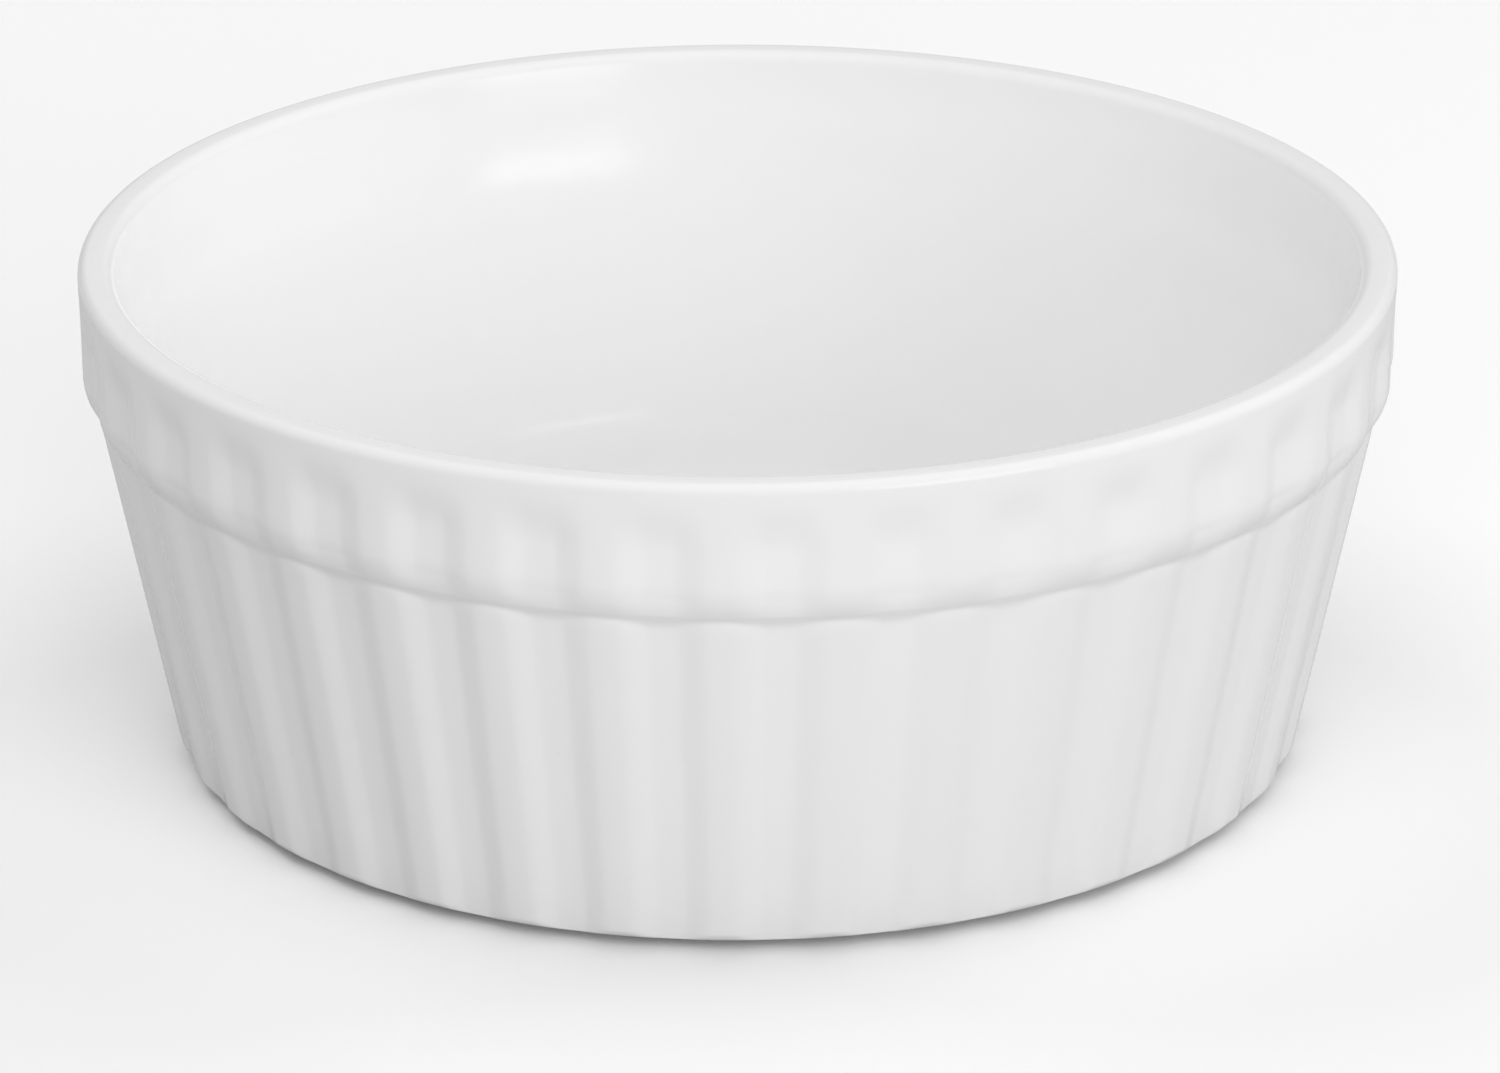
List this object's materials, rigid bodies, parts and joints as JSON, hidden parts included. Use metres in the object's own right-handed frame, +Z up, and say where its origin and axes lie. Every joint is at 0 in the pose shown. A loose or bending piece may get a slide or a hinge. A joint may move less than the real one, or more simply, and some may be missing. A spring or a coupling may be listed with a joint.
{
  "type": "ramekin",
  "caption": "Round fluted porcelain ramekin: flaring ribbed wall, upright ribbed band under a smooth rounded lip, plain deep bowl and a bare foot ring.",
  "frame": {"origin": "centre of the plane that the foot ring stands on", "axes": "+Z up along the dish's axis, out of the bowl; +X through the middle of one rib"},
  "size_m": [0.12, 0.12, 0.047],
  "materials": {
    "bare_porcelain": "unglazed, fine matte",
    "white_glaze": "clear gloss over white"
  },
  "bodies": {
    "root": {"porcelain_body": "white_glaze", "foot_ring": "bare_porcelain"}
  },
  "joints": []
}
